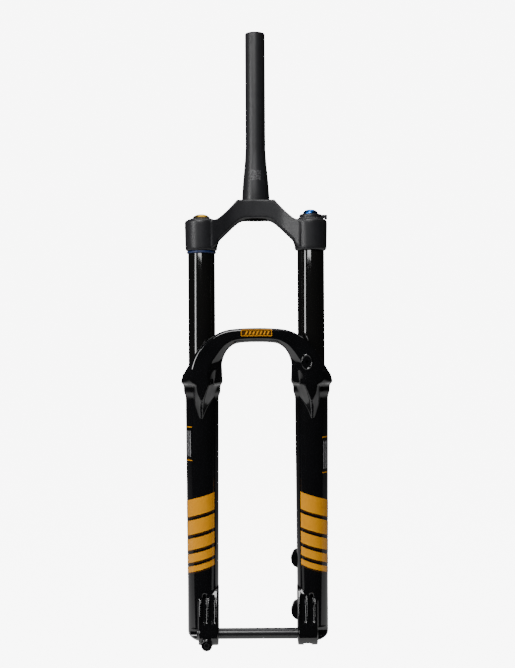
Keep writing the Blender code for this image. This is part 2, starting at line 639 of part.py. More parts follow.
def build():
    clear_scene()
    parts = new_collection("suspension_fork")
    cutters = new_collection("cutters")
    make_steerer(parts)
    make_crown(parts, cutters)
    make_stanchions(parts)
    make_air_top(parts)
    make_air_spring(parts)
    make_damper_top(parts, cutters)
    make_damper(parts)
    make_compensator(parts)
    make_leg_linings(parts)
    make_casting(parts, cutters)
    make_axle(parts)
    make_sag_ring(parts)


build()
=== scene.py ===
import math

import bmesh
import bpy
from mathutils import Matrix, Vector


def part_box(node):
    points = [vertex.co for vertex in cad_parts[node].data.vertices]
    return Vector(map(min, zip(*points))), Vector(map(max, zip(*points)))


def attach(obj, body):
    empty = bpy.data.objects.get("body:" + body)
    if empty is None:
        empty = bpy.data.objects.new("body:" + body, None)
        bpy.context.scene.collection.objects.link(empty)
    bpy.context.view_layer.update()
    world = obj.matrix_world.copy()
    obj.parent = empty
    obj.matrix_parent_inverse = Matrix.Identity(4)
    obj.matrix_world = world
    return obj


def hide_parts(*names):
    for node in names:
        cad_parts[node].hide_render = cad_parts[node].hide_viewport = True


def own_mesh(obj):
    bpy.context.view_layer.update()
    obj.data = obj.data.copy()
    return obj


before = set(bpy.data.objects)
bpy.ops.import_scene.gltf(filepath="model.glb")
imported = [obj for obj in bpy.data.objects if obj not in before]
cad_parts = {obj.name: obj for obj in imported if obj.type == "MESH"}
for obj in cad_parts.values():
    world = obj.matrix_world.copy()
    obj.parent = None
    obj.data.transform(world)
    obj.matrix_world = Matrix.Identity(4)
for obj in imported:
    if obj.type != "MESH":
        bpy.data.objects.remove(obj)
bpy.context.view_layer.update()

print("frame loaded:", len(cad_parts), "nodes")

# the few places that everything below is worked out from
stanchionLow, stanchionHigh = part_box("damper_stanchion")
castLow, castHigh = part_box("lower_casting")
crownLow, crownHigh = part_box("crown")
steererLow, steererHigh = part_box("steerer_tube")
axleLow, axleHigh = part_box("thru_axle")

legX = (stanchionLow.x + stanchionHigh.x) / 2
legY = (stanchionLow.y + stanchionHigh.y) / 2
stanchionRadius = (stanchionHigh.x - stanchionLow.x) / 2
axleY = (axleLow.y + axleHigh.y) / 2
axleZ = (axleLow.z + axleHigh.z) / 2
legSides = {"air": -1, "damper": 1}


# modelling helpers

def deselectAll():
    if bpy.context.mode != "OBJECT":
        bpy.ops.object.mode_set(mode="OBJECT")
    bpy.ops.object.select_all(action="DESELECT")


def pickUp(piece):
    deselectAll()
    piece.select_set(True)
    bpy.context.view_layer.objects.active = piece


def applyModifier(piece, kind, **settings):
    pickUp(piece)
    step = piece.modifiers.new(kind.title(), kind)
    for setting, value in settings.items():
        setattr(step, setting, value)
    bpy.ops.object.modifier_apply(modifier=step.name)


def combine(piece, tool, operation="DIFFERENCE"):
    applyModifier(piece, "BOOLEAN", operation=operation, solver="EXACT", object=tool)
    bpy.data.objects.remove(tool, do_unlink=True)


def shadeByAngle(piece, degrees=35):
    pickUp(piece)
    bpy.ops.object.shade_smooth_by_angle(angle=math.radians(degrees))


def ringPiece(name, rings, tube=False):
    # a circle shaped to the first ring, then extruded from ring to ring
    deselectAll()
    bpy.ops.mesh.primitive_circle_add(vertices=len(rings[0]), radius=1)
    piece = bpy.context.object
    piece.name = name
    piece.data.name = name
    bpy.ops.object.mode_set(mode="EDIT")
    bpy.ops.mesh.select_all(action="SELECT")
    model = bmesh.from_edit_mesh(piece.data)
    order = model.verts.layers.int.new("order")
    for number, vert in enumerate(model.verts):
        vert[order] = number
        vert.co = rings[0][number]
    if not tube:
        bpy.ops.mesh.edge_face_add()
    for ring in rings[1:]:
        bpy.ops.mesh.extrude_edges_move()
        model = bmesh.from_edit_mesh(piece.data)
        order = model.verts.layers.int["order"]
        for vert in model.verts:
            if vert.select:
                vert.co = ring[vert[order]]
    if tube:
        bpy.ops.mesh.select_all(action="SELECT")
        bpy.ops.mesh.region_to_loop()
        bpy.ops.mesh.bridge_edge_loops()
    else:
        bpy.ops.mesh.edge_face_add()
    bpy.ops.mesh.select_all(action="SELECT")
    bpy.ops.mesh.normals_make_consistent(inside=False)
    bpy.ops.object.mode_set(mode="OBJECT")
    piece.data.attributes.remove(piece.data.attributes["order"])
    return piece


def circleRing(radius, height, centre, axis="z", sides=96):
    ring = []
    for number in range(sides):
        angle = 2 * math.pi * number / sides
        u, v = radius * math.cos(angle), radius * math.sin(angle)
        offset = {"z": (u, v, height), "x": (height, u, v), "y": (v, height, u)}[axis]
        ring.append(Vector(centre) + Vector(offset))
    return ring


def turnedPiece(name, profile, centre=(0, 0, 0), axis="z", sides=96, edge=0.0, tube=False):
    # profile of (radius, height), capped at both ends, or closed round a bore as a tube
    rings = [circleRing(radius, height, centre, axis, sides) for radius, height in profile]
    piece = ringPiece(name, rings, tube)
    if edge:
        applyModifier(piece, "BEVEL", width=edge, segments=3, limit_method="ANGLE",
                      angle_limit=math.radians(28))
    shadeByAngle(piece)
    return piece


def boxPiece(name, low, high):
    deselectAll()
    middle = [(a + b) / 2 for a, b in zip(low, high)]
    bpy.ops.mesh.primitive_cube_add(size=1, location=middle)
    piece = bpy.context.object
    piece.name = name
    piece.scale = [b - a for a, b in zip(low, high)]
    bpy.ops.object.transform_apply(location=True, rotation=True, scale=True)
    return piece


def softenForging(piece, grain, passes):
    # one skin over all the joined shapes, with cast fillets where they meet
    applyModifier(piece, "REMESH", mode="VOXEL", voxel_size=grain, adaptivity=0.0)
    applyModifier(piece, "SMOOTH", factor=0.5, iterations=passes)


def smoothCurve(points, pieces):
    padded = [points[0], *points, points[-1]]
    curve = []
    for before, start, end, after in zip(padded, padded[1:], padded[2:], padded[3:]):
        for step in range(pieces):
            t = step / pieces
            curve.append(tuple(
                0.5 * (2 * b + (c - a) * t + (2 * a - 5 * b + 4 * c - d) * t ** 2
                       + (3 * b - a - 3 * c + d) * t ** 3)
                for a, b, c, d in zip(before, start, end, after)))
    curve.append(points[-1])
    return curve


def bothHalves(points):
    return points + [(-x, z) for x, z in reversed(points) if x > 0]


def between(a, b, share):
    return tuple(u + (v - u) * share for u, v in zip(a, b))


# materials

def makeSurfaceGroup():
    # slow roughness change and a fine height, shared by every finish
    group = bpy.data.node_groups.new("surfaceDetail", "ShaderNodeTree")
    face = group.interface
    for socket, value in (("Cloud Size", 60.0), ("Grain Size", 1500.0), ("Base Roughness", 0.2),
                          ("Roughness Change", 0.05)):
        face.new_socket(socket, in_out="INPUT", socket_type="NodeSocketFloat").default_value = value
    face.new_socket("Roughness", in_out="OUTPUT", socket_type="NodeSocketFloat")
    face.new_socket("Height", in_out="OUTPUT", socket_type="NodeSocketFloat")
    face.new_socket("Cloud", in_out="OUTPUT", socket_type="NodeSocketFloat")
    nodes, links = group.nodes, group.links
    inside = nodes.new("NodeGroupInput")
    outside = nodes.new("NodeGroupOutput")
    place = nodes.new("ShaderNodeTexCoord")
    cloud = nodes.new("ShaderNodeTexNoise")
    cloud.inputs["Detail"].default_value = 4
    grain = nodes.new("ShaderNodeTexNoise")
    grain.inputs["Detail"].default_value = 2
    for noise, size in ((cloud, "Cloud Size"), (grain, "Grain Size")):
        links.new(place.outputs["Object"], noise.inputs["Vector"])
        links.new(inside.outputs[size], noise.inputs["Scale"])
    shift = nodes.new("ShaderNodeMath")
    shift.operation = "SUBTRACT"
    shift.inputs[1].default_value = 0.5
    links.new(cloud.outputs["Fac"], shift.inputs[0])
    rough = nodes.new("ShaderNodeMath")
    rough.operation = "MULTIPLY_ADD"
    links.new(shift.outputs[0], rough.inputs[0])
    links.new(inside.outputs["Roughness Change"], rough.inputs[1])
    links.new(inside.outputs["Base Roughness"], rough.inputs[2])
    links.new(rough.outputs[0], outside.inputs["Roughness"])
    links.new(grain.outputs["Fac"], outside.inputs["Height"])
    links.new(cloud.outputs["Fac"], outside.inputs["Cloud"])
    return group


surfaceDetail = makeSurfaceGroup()


def makeFinish(name, dark, light, roughness, change=0.05, metallic=0.0, cloud=60.0, grain=1500.0,
               bump=0.02, depth=0.0002, coat=0.0, specular=0.5):
    material = bpy.data.materials.new(name)
    material.use_nodes = True
    nodes, links = material.node_tree.nodes, material.node_tree.links
    shader = nodes["Principled BSDF"]
    detail = nodes.new("ShaderNodeGroup")
    detail.node_tree = surfaceDetail
    detail.name = "Detail"
    detail.inputs["Cloud Size"].default_value = cloud
    detail.inputs["Grain Size"].default_value = grain
    detail.inputs["Base Roughness"].default_value = roughness
    detail.inputs["Roughness Change"].default_value = change
    tint = nodes.new("ShaderNodeMix")
    tint.name = "Tint"
    tint.data_type = "RGBA"
    tint.inputs["A"].default_value = (*dark, 1)
    tint.inputs["B"].default_value = (*light, 1)
    links.new(detail.outputs["Cloud"], tint.inputs["Factor"])
    links.new(tint.outputs["Result"], shader.inputs["Base Color"])
    links.new(detail.outputs["Roughness"], shader.inputs["Roughness"])
    relief = nodes.new("ShaderNodeBump")
    relief.inputs["Strength"].default_value = bump
    relief.inputs["Distance"].default_value = depth
    links.new(detail.outputs["Height"], relief.inputs["Height"])
    links.new(relief.outputs["Normal"], shader.inputs["Normal"])
    shader.inputs["Metallic"].default_value = metallic
    shader.inputs["Coat Weight"].default_value = coat
    shader.inputs["Coat Roughness"].default_value = 0.04
    shader.inputs["Specular IOR Level"].default_value = specular
    return material


finishes = {
    "glossPaint": makeFinish("glossPaint", (0.0035, 0.0035, 0.004), (0.006, 0.006, 0.007), 0.09,
                             0.03, cloud=35, grain=900, bump=0.015, coat=0.6),
    "satinAnodised": makeFinish("satinAnodised", (0.016, 0.016, 0.018), (0.024, 0.024, 0.027),
                                0.40, 0.06, cloud=90, grain=3500, bump=0.10),
    "stanchionCoat": makeFinish("stanchionCoat", (0.005, 0.005, 0.005), (0.008, 0.0075, 0.007),
                                0.08, 0.03, metallic=0.0, cloud=25, grain=2500, bump=0.01,
                                specular=0.7),
    "axleBlack": makeFinish("axleBlack", (0.012, 0.012, 0.013), (0.020, 0.020, 0.022), 0.30, 0.06,
                            cloud=80, grain=2500, bump=0.02, specular=0.7),
    "goldAnodised": makeFinish("goldAnodised", (0.72, 0.40, 0.02), (0.85, 0.50, 0.05), 0.24, 0.08,
                               metallic=1.0, cloud=150, grain=3000, bump=0.05),
    "blueAnodised": makeFinish("blueAnodised", (0.012, 0.10, 0.42), (0.02, 0.15, 0.55), 0.24, 0.08,
                               metallic=1.0, cloud=150, grain=3000, bump=0.05),
    "sealRubber": makeFinish("sealRubber", (0.010, 0.010, 0.011), (0.020, 0.020, 0.021), 0.60,
                             0.12, cloud=140, grain=2600, bump=0.20),
    "navyRubber": makeFinish("navyRubber", (0.006, 0.016, 0.070), (0.010, 0.026, 0.110), 0.45,
                             0.10, cloud=160, grain=2600, bump=0.15),
    "groundSteel": makeFinish("groundSteel", (0.45, 0.45, 0.46), (0.60, 0.60, 0.61), 0.26, 0.10,
                              metallic=1.0, cloud=200, grain=4000, bump=0.08),
    "blackSteel": makeFinish("blackSteel", (0.020, 0.020, 0.021), (0.040, 0.040, 0.041), 0.35,
                             0.10, metallic=0.6, cloud=220, grain=3500, bump=0.10),
    "rawAlloy": makeFinish("rawAlloy", (0.55, 0.56, 0.58), (0.68, 0.69, 0.71), 0.30, 0.10,
                           metallic=1.0, cloud=120, grain=4000, bump=0.08),
    "brass": makeFinish("brass", (0.62, 0.43, 0.16), (0.74, 0.55, 0.24), 0.28, 0.10, metallic=1.0,
                        cloud=220, grain=3500, bump=0.08),
    "bronze": makeFinish("bronze", (0.34, 0.22, 0.10), (0.48, 0.32, 0.16), 0.42, 0.10,
                         metallic=0.9, cloud=160, grain=3000, bump=0.15),
    "oilFoam": makeFinish("oilFoam", (0.16, 0.16, 0.14), (0.30, 0.30, 0.27), 0.90, 0.10,
                          cloud=300, grain=1200, bump=0.60, depth=0.0005),
    "orangePlastic": makeFinish("orangePlastic", (0.70, 0.22, 0.02), (0.80, 0.30, 0.04), 0.42,
                                0.10, cloud=120, grain=2500, bump=0.10),
    "copper": makeFinish("copper", (0.62, 0.28, 0.15), (0.76, 0.40, 0.25), 0.35, 0.10,
                         metallic=1.0, cloud=240, grain=3000, bump=0.10),
    "amberFilm": makeFinish("amberFilm", (0.86, 0.33, 0.006), (0.95, 0.40, 0.010), 0.22, 0.05,
                            cloud=50, grain=2200, bump=0.02, coat=0.4),
    "pinlineFilm": makeFinish("pinlineFilm", (0.05, 0.02, 0.004), (0.08, 0.035, 0.006), 0.25,
                              0.05, cloud=50, grain=2200, bump=0.02, coat=0.4),
    "greyFilm": makeFinish("greyFilm", (0.30, 0.30, 0.31), (0.38, 0.38, 0.39), 0.25, 0.05,
                           cloud=50, grain=2200, bump=0.02, coat=0.4),
}
print("finishes made:", len(finishes))


def wear(piece, finishName):
    piece.data.materials.clear()
    piece.data.materials.append(finishes[finishName])


def place(piece, body, finishName, slot, *nodes):
    wear(piece, finishName)
    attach(piece, body)
    if nodes:
        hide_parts(*nodes)


def addSteererEtching(material, steerer):
    # a small etched square of fine cells on the front of the taper
    nodes, links = material.node_tree.nodes, material.node_tree.links
    shader = nodes["Principled BSDF"]
    where = nodes.new("ShaderNodeTexCoord")
    split = nodes.new("ShaderNodeSeparateXYZ")
    links.new(where.outputs["Object"], split.inputs[0])
    mask = None
    limits = (("X", steerer["etchSize"] / 2, 0.0), ("Z", steerer["etchSize"] / 2, steerer["etchZ"]))
    for axis, reach, centre in limits:
        near = nodes.new("ShaderNodeMath")
        near.operation = "COMPARE"
        near.inputs[1].default_value = centre
        near.inputs[2].default_value = reach
        links.new(split.outputs[axis], near.inputs[0])
        if mask is None:
            mask = near
        else:
            both = nodes.new("ShaderNodeMath")
            both.operation = "MULTIPLY"
            links.new(mask.outputs[0], both.inputs[0])
            links.new(near.outputs[0], both.inputs[1])
            mask = both
    front = nodes.new("ShaderNodeMath")
    front.operation = "LESS_THAN"
    front.inputs[1].default_value = 0.0
    links.new(split.outputs["Y"], front.inputs[0])
    patch = nodes.new("ShaderNodeMath")
    patch.operation = "MULTIPLY"
    links.new(mask.outputs[0], patch.inputs[0])
    links.new(front.outputs[0], patch.inputs[1])
    cells = nodes.new("ShaderNodeTexVoronoi")
    cells.distance = "CHEBYCHEV"
    cells.inputs["Scale"].default_value = 900
    cells.inputs["Randomness"].default_value = 0.0
    links.new(where.outputs["Object"], cells.inputs["Vector"])
    speck = nodes.new("ShaderNodeMath")
    speck.operation = "GREATER_THAN"
    speck.inputs[1].default_value = 0.5
    tone = nodes.new("ShaderNodeSeparateColor")
    links.new(cells.outputs["Color"], tone.inputs[0])
    links.new(tone.outputs["Red"], speck.inputs[0])
    etched = nodes.new("ShaderNodeMath")
    etched.operation = "MULTIPLY"
    links.new(patch.outputs[0], etched.inputs[0])
    links.new(speck.outputs[0], etched.inputs[1])
    colour = nodes.new("ShaderNodeMix")
    colour.data_type = "RGBA"
    colour.inputs["B"].default_value = (0.10, 0.10, 0.105, 1)
    links.new(etched.outputs[0], colour.inputs["Factor"])
    links.new(nodes["Tint"].outputs["Result"], colour.inputs["A"])
    links.new(colour.outputs["Result"], shader.inputs["Base Color"])


# camera, light and floor

studio = {
    "cameraPlace": (0.0014, -1.424, -0.1907),
    "cameraRoll": 0.33,            # degrees
    "lens": 53.16,
    "floorHeight": castLow.z - 0.40,
    "floorFront": -0.75,           # the floor starts a little in front of the fork
    "floorDepth": 16.0,
    "paintedPoolRadius": (1.6, 3.2),      # the painted pool of light that the floor glows with round the fork fades between these
    # strength of the painted pool of light the floor glows with, seen only in reflections on the fork
    "floorTone": (0.93, 0.93, 0.93),
    "paintedPoolGlow": 0.26,
    "backgroundWhite": 8.0,
    "surroundTone": 0.012,
}

softBoxes = [
    # name, place, size across, size up, watts, height of the point it is turned to
    ("sideStrip", (-1.35, -1.00, 0.30), 0.32, 1.15, 14.0, 0.30),
    ("highFront", (-0.45, -1.70, 1.45), 1.10, 1.00, 42.0, -0.10),
    ("topLight", (0.0, 0.5, 2.0), 1.6, 1.6, 20.0, 0.0),
]


def cameraOnly(nodes, links, dimColour, brightColour):
    # bright to the camera, dim to everything the gloss mirrors
    ray = nodes.new("ShaderNodeLightPath")
    tone = nodes.new("ShaderNodeMix")
    tone.data_type = "RGBA"
    tone.inputs["A"].default_value = (*dimColour, 1)
    tone.inputs["B"].default_value = (*brightColour, 1)
    links.new(ray.outputs["Is Camera Ray"], tone.inputs["Factor"])
    return tone


def makeStudio():
    deselectAll()
    bpy.ops.object.camera_add(location=studio["cameraPlace"],
                              rotation=(math.pi / 2, math.radians(studio["cameraRoll"]), 0))
    camera = bpy.context.object
    camera.name = "frontCamera"
    camera.data.sensor_fit = "VERTICAL"
    camera.data.sensor_height = 36
    camera.data.lens = studio["lens"]
    bpy.context.scene.camera = camera
    for name, where, across, upwards, watts, aimHeight in softBoxes:
        bpy.ops.object.light_add(type="AREA", location=where)
        lamp = bpy.context.object
        lamp.name = name
        lamp.data.shape = "RECTANGLE"
        lamp.data.size = across
        lamp.data.size_y = upwards
        lamp.data.energy = watts
        aim = Vector((0, 0, aimHeight)) - Vector(where)
        lamp.rotation_euler = aim.to_track_quat("-Z", "Y").to_euler()
    deselectAll()
    depth = studio["floorDepth"]
    bpy.ops.mesh.primitive_plane_add(size=depth, location=(0, studio["floorFront"] + depth / 2,
                                                           studio["floorHeight"]))
    floor = bpy.context.object
    floor.name = "studioFloor"
    bpy.ops.object.transform_apply(location=True, rotation=True, scale=True)
    paper = makeFinish("floorPaper", studio["floorTone"], studio["floorTone"], 0.85, 0.05, cloud=3,
                       grain=200, bump=0.02)
    nodes, links = paper.node_tree.nodes, paper.node_tree.links
    where = nodes.new("ShaderNodeTexCoord")
    away = nodes.new("ShaderNodeVectorMath")
    away.operation = "LENGTH"
    links.new(where.outputs["Object"], away.inputs[0])
    # painted light: near the fork the floor glows with a pool of light that only reflections in the
    # fork see, fading out between the two radii; the camera sees the floor evenly white
    pool = nodes.new("ShaderNodeMapRange")
    pool.inputs["From Min"].default_value = studio["paintedPoolRadius"][0]
    pool.inputs["From Max"].default_value = studio["paintedPoolRadius"][1]
    pool.inputs["To Min"].default_value = studio["paintedPoolGlow"] / studio["backgroundWhite"]
    pool.inputs["To Max"].default_value = 0
    links.new(away.outputs["Value"], pool.inputs["Value"])
    glow = cameraOnly(nodes, links, (0, 0, 0), (1, 1, 1))
    links.new(pool.outputs["Result"], glow.inputs["A"])
    links.new(glow.outputs["Result"], nodes["Principled BSDF"].inputs["Emission Color"])
    nodes["Principled BSDF"].inputs["Emission Strength"].default_value = studio["backgroundWhite"]
    floor.data.materials.append(paper)
    world = bpy.data.worlds.new("paleStudio")
    bpy.context.scene.world = world
    world.use_nodes = True
    nodes, links = world.node_tree.nodes, world.node_tree.links
    dim, white = studio["surroundTone"], studio["backgroundWhite"]
    tone = cameraOnly(nodes, links, (dim, dim, dim), (white, white, white))
    links.new(tone.outputs["Result"], nodes["Background"].inputs["Color"])


makeStudio()
print("studio set")


# steerer

steerer = {
    "topRadius": 0.0143, "baseRadius": 0.0199, "taperTop": 0.077, "taperBase": 0.004,
    "bore": 0.0118, "baseBore": 0.0165, "etchZ": 0.0365, "etchSize": 0.0150,
}


def makeSteerer():
    top, foot = steererHigh.z, steererLow.z
    taper = []
    for step in range(9):      # the taper eases in and out of the straight ends
        share = step / 8
        ease = share + 0.05 * math.sin(2 * math.pi * share) * -1
        height = steerer["taperTop"] + (steerer["taperBase"] - steerer["taperTop"]) * share
        taper.append((steerer["topRadius"] + (steerer["baseRadius"] - steerer["topRadius"]) * ease,
                      height))
    profile = [(steerer["topRadius"] - 0.0004, top), (steerer["topRadius"], top - 0.0005),
               *taper, (steerer["baseRadius"], foot), (steerer["baseBore"], foot),
               (steerer["baseBore"], steerer["taperBase"]), (steerer["bore"], steerer["taperTop"]),
               (steerer["bore"], top - 0.0004), (steerer["bore"] + 0.0004, top)]
    piece = turnedPiece("steerer", profile, sides=128, tube=True)
    etchedFinish = finishes["satinAnodised"].copy()
    etchedFinish.name = "steererAnodised"
    addSteererEtching(etchedFinish, steerer)
    finishes["steererAnodised"] = etchedFinish
    place(piece, "crown_unit", "steererAnodised", "crown_black", "steerer_tube")


makeSteerer()
print("steerer made")


# crown

crown = {
    "topEdge": [(0.0266, 0.0000), (0.0294, -0.0033), (0.0330, -0.0075), (0.0425, -0.0175),
                (0.0516, -0.0260), (0.0560, -0.0287), (0.0620, -0.0300)],
    "underside": [(0.0620, -0.0690), (0.0554, -0.0640), (0.0528, -0.0570), (0.0461, -0.0500),
                  (0.0324, -0.0360), (0.0240, -0.0290), (0.0160, -0.0262), (0.0000, -0.0258)],
    "backEdge": [(0.0000, 0.0265), (0.0101, 0.0245), (0.0187, 0.0187), (0.0300, 0.0110),
                 (0.0480, 0.0020), (0.0700, -0.0045)],
    "frontEdge": [(0.0775, -0.0460), (0.0640, -0.0440), (0.0500, -0.0370), (0.0350, -0.0300),
                  (0.0180, -0.0270), (0.0000, -0.0262)],
    "clamp": [(0.0205, -0.0292), (0.0228, -0.0302), (0.0235, -0.0330), (0.0235, -0.0380),
              (0.0228, -0.0690), (0.0222, -0.0716), (0.0207, -0.0728)],
    "grain": 0.0009, "softPasses": 16,
}


def makeCrown():
    front = bothHalves(smoothCurve(crown["topEdge"], 4) + smoothCurve(crown["underside"], 4))
    body = ringPiece("crown", [[(x, y, z) for x, z in front] for y in (0.05, -0.06)])
    plan = bothHalves(smoothCurve(crown["backEdge"], 4) + smoothCurve(crown["frontEdge"], 4))
    above = ringPiece("crownPlan", [[(x, y, z) for x, y in plan] for z in (0.05, -0.12)])
    combine(body, above, "INTERSECT")
    for side in legSides.values():
        sleeve = turnedPiece("sleeve", crown["clamp"] + [(0.0005, -0.0728)],
                             (side * legX, legY, 0), sides=128)
        combine(body, sleeve, "UNION")
    softenForging(body, crown["grain"], crown["softPasses"])
    top = boxPiece("raceFace", (-0.04, -0.04, crownHigh.z), (0.04, 0.04, 0.02))
    combine(body, top)
    for side in legSides.values():
        combine(body, turnedPiece("clampBore", [(stanchionRadius + 0.0002, 0.02),
                                                (stanchionRadius + 0.0002, -0.10)],
                                  (side * legX, legY, 0)))
    combine(body, turnedPiece("steererBore", [(steerer["baseRadius"] + 0.0002, 0.02),
                                              (steerer["baseRadius"] + 0.0002, -0.10)]))
    shadeByAngle(body, 40)
    place(body, "crown_unit", "satinAnodised", "crown_black", "crown")


makeCrown()
print("crown made")


# stanchions

def makeStanchions():
    top, foot = stanchionHigh.z, stanchionLow.z
    bore = stanchionRadius - 0.0025
    for side, sign in legSides.items():
        profile = [(stanchionRadius - 0.0004, top), (stanchionRadius, top - 0.0006),
                   (stanchionRadius, foot + 0.0010), (stanchionRadius - 0.0006, foot),
                   (bore, foot), (bore, top)]
        piece = turnedPiece(side + "Stanchion", profile, (sign * legX, legY, 0), sides=160, tube=True)
        place(piece, "crown_unit", "stanchionCoat", "stanchion_black", side + "_stanchion")


makeStanchions()
print("stanchions made")


# lower casting

casting = {
    "upperGrain": 0.00100,
    "lowerGrain": 0.00105,
    "upperCut": -0.322,
    "lowerCut": -0.541,
    "upperLeg": [(0.0247, -0.2450), (0.0260, -0.2455), (0.0276, -0.2478), (0.0293, -0.2552),
                 (0.0292, -0.2582), (0.0268, -0.2628), (0.0262, -0.2645), (0.0261, -0.2708),
                 (0.0257, -0.2728), (0.0241, -0.2775), (0.0235, -0.2805), (0.02318, -0.3400),
                 (0.02312, -0.3500)],
    "lowerLeg": [(0.02208, -0.5200), (0.0220, -0.5350), (0.0220, -0.6100), (0.0214, -0.6143),
                 (0.0190, -0.6180), (0.0160, -0.6206), (0.0125, -0.6226), (0.0100, -0.6238)],
    "legBore": [(0.0245, -0.2250), (0.0245, -0.2449), (0.0237, -0.2457), (0.0237, -0.2670),
                (0.0209, -0.2670), (0.0209, -0.4150), (0.0203, -0.4150), (0.0203, -0.5960),
                (0.0045, -0.5960), (0.0045, -0.6190), (0.0095, -0.6190), (0.0095, -0.6300)],
    "axleHoleRadius": 0.0078, "insertHoleRadius": 0.0105, "postHoleRadius": 0.0026,
    "hoseHoleRadius": 0.0021, "slitWidth": 0.0012, "softPasses": (9, 4),
}

arch = {
    "front": -0.0635,
    "back": -0.0490,
    # outer and inner edge (x, z), then the ridge and the end of the facet behind it (x, y, z)
    "bow": [
        ((0.0000, -0.1823), (0.0000, -0.2020), (0.0000, -0.0635, -0.1966), (0.0000, -0.0592, -0.2008)),
        ((0.0220, -0.1829), (0.0150, -0.2023), (0.0168, -0.0635, -0.1969), (0.0155, -0.0592, -0.2011)),
        ((0.0420, -0.1852), (0.0290, -0.2042), (0.0312, -0.0635, -0.1990), (0.0297, -0.0590, -0.2030)),
        ((0.0590, -0.1924), (0.0385, -0.2105), (0.0435, -0.0635, -0.2052), (0.0398, -0.0582, -0.2095)),
        ((0.0730, -0.2033), (0.0445, -0.2195), (0.0522, -0.0637, -0.2142), (0.0462, -0.0574, -0.2185)),
        ((0.0850, -0.2175), (0.0478, -0.2295), (0.0596, -0.0640, -0.2245), (0.0515, -0.0568, -0.2278)),
    ],
    # level cuts through each foot: height, then (x, y) from the inner back round the outside
    "foot": [
        (-0.2360, [(0.0484, -0.0400), (0.0955, -0.0400), (0.0965, -0.0480), (0.0945, -0.0560),
                   (0.0890, -0.0622), (0.0800, -0.0638), (0.0668, -0.0643), (0.0568, -0.0592),
                   (0.0486, -0.0545)]),
        (-0.2450, [(0.0484, -0.0300), (0.1020, -0.0300), (0.1020, -0.0400), (0.0975, -0.0510),
                   (0.0905, -0.0610), (0.0810, -0.0635), (0.0684, -0.0642), (0.0580, -0.0570),
                   (0.0488, -0.0530)]),
        (-0.2545, [(0.0483, -0.0280), (0.1066, -0.0280), (0.1056, -0.0385), (0.1010, -0.0495),
                   (0.0925, -0.0592), (0.0810, -0.0627), (0.0670, -0.0632), (0.0592, -0.0542),
                   (0.0488, -0.0515)]),
        (-0.2602, [(0.0490, -0.0280), (0.1056, -0.0280), (0.1044, -0.0385), (0.0990, -0.0490),
                   (0.0892, -0.0592), (0.0803, -0.0622), (0.0664, -0.0626), (0.0600, -0.0532),
                   (0.0500, -0.0490)]),
        (-0.2618, [(0.0560, -0.0280), (0.0940, -0.0280), (0.0920, -0.0380), (0.0895, -0.0450),
                   (0.0866, -0.0584), (0.0800, -0.0617), (0.0664, -0.0622), (0.0604, -0.0526),
                   (0.0548, -0.0420)]),
        (-0.2760, [(0.0580, -0.0280), (0.0930, -0.0280), (0.0905, -0.0380), (0.0885, -0.0430),
                   (0.0862, -0.0532), (0.0805, -0.0582), (0.0722, -0.0598), (0.0640, -0.0492),
                   (0.0592, -0.0400)]),
        (-0.2920, [(0.0620, -0.0280), (0.0900, -0.0280), (0.0880, -0.0380), (0.0865, -0.0430),
                   (0.0845, -0.0476), (0.0805, -0.0524), (0.0756, -0.0540), (0.0695, -0.0466),
                   (0.0650, -0.0400)]),
        (-0.3160, [(0.0720, -0.0280), (0.0820, -0.0280), (0.0810, -0.0380), (0.0800, -0.0420),
                   (0.0792, -0.0460), (0.0782, -0.0465), (0.0772, -0.0468), (0.0762, -0.0460),
                   (0.0745, -0.0400)]),
    ],
    "bossPlace": (0.0694, -0.2293),
    "bossStretch": 1.4,            # the hose boss is an oval, taller than wide
    "pockets": [(2, 9), (11, 17), (19, 25)], "pocketWall": 0.26, "pocketFloor": -0.0548,
}

dropout = {
    "inner": 0.0550, "outer": 0.0830, "noseRadius": 0.0165,
    "pinchX": -0.0713, "pinchZ": -0.6212, "pinchFront": -0.0625,
    "pocketWidth": 0.0082, "ribWidth": 0.0030,
    "postX": 0.0590, "postHeights": (-0.5122, -0.5864), "postFace": 0.0160,
}


def legProfileSolid(name, profile, sign):
    rings = [circleRing(radius, height, (sign * legX, legY, 0), sides=128)
             for radius, height in profile]
    return ringPiece(name, rings)


def bowRing(outer, inner, ridge, facet):
    # the same nine corners as a level cut through a foot
    front, back = arch["front"], arch["back"]

    def across(share, depth):
        x, z = between(outer, inner, share)
        return (x, depth, z)

    return [across(1, back), across(0, back), across(0, front + 0.0060),
            across(0.05, front + 0.0018), across(0.15, front + 0.0001), across(0.45, front),
            ridge, facet, across(1, facet[1] + 0.0020)]


def makeArch():
    feet = [[(x, y, height) for x, y in points] for height, points in arch["foot"]]
    half = [bowRing(*station) for station in arch["bow"]] + feet
    other = [[(-x, y, z) for x, y, z in ring] for ring in half[:0:-1]]
    tracks = [smoothCurve(track, 6) for track in zip(*(other + half))]
    rings = []
    for ring in zip(*tracks):
        rings.append([ring[0], *smoothCurve(ring[1:7], 4), ring[7], ring[8]])
    return ringPiece("arch", rings)


def makeUpperCasting():
    shell = legProfileSolid("upperCasting", casting["upperLeg"], -1)
    combine(shell, legProfileSolid("otherLeg", casting["upperLeg"], 1), "UNION")
    combine(shell, makeArch(), "UNION")
    softenForging(shell, casting["upperGrain"], casting["softPasses"][0])
    return shell


